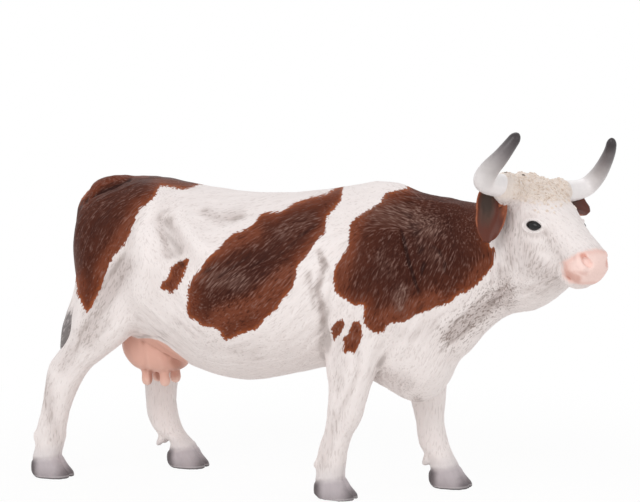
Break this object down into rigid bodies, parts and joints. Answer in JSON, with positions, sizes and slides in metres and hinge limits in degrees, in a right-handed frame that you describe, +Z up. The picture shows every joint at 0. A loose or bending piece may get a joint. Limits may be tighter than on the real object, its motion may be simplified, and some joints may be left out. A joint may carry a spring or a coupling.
{
  "type": "cow figurine",
  "caption": "Solid painted figurine of a horned dairy cow in a walking step, its head turned to its right, standing free on the soles of its hooves.",
  "frame": {"origin": "on the ground plane under the middle of the whole figurine", "axes": "+X from the rump towards the head, +Y to the cow's left, +Z up"},
  "size_m": [0.133, 0.0434, 0.0811],
  "materials": {
    "coat": "satin hand paint on solid plastic, warm white with red-brown patches",
    "horn": "semi-gloss paint, off-white at the root shading to dark grey at the tip",
    "ear": "satin red-brown paint, dark inside the ear",
    "udder": "satin salmon-pink paint",
    "tail": "satin paint, off-white shading to grey at the switch"
  },
  "bodies": {
    "root": {"torso": "coat", "head": "coat", "horn_right": "horn", "horn_left": "horn", "ear_right": "ear", "ear_left": "ear", "leg_front_right": "coat", "leg_front_left": "coat", "leg_hind_right": "coat", "leg_hind_left": "coat", "udder": "udder", "tail": "tail"}
  },
  "joints": []
}
